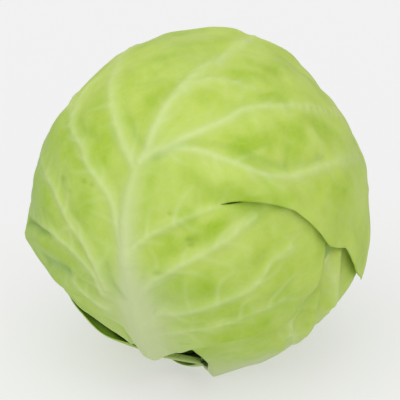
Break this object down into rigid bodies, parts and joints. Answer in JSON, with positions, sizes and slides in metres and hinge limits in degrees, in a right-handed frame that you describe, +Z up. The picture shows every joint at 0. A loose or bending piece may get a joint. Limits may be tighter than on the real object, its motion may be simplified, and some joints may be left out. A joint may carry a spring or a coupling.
{
  "type": "green head cabbage",
  "caption": "Round, smooth-leaved green head cabbage lying tilted on its side, with large overlapping wrapper leaves round a dense inner head and a cut stem.",
  "frame": {"origin": "middle of the flat spot that the head rests on, straight below the middle of the head", "axes": "+Z up, -Y the front of the head as it lies, where the cut stem points down and forward, +X to the right seen from the front"},
  "size_m": [0.1763, 0.1775, 0.1711],
  "materials": {
    "wrapper_leaf": "satin waxy green leaf with pale raised veins, whitish towards the leaf base",
    "inner_head": "pale green smooth packed leaves",
    "cut_stem": "matte cream, freshly cut pith with a greener rind"
  },
  "bodies": {
    "root": {"leaf_front": "wrapper_leaf", "leaf_right": "wrapper_leaf", "leaf_left": "wrapper_leaf", "leaf_back": "wrapper_leaf", "heart": "inner_head", "stem": "cut_stem"}
  },
  "joints": []
}
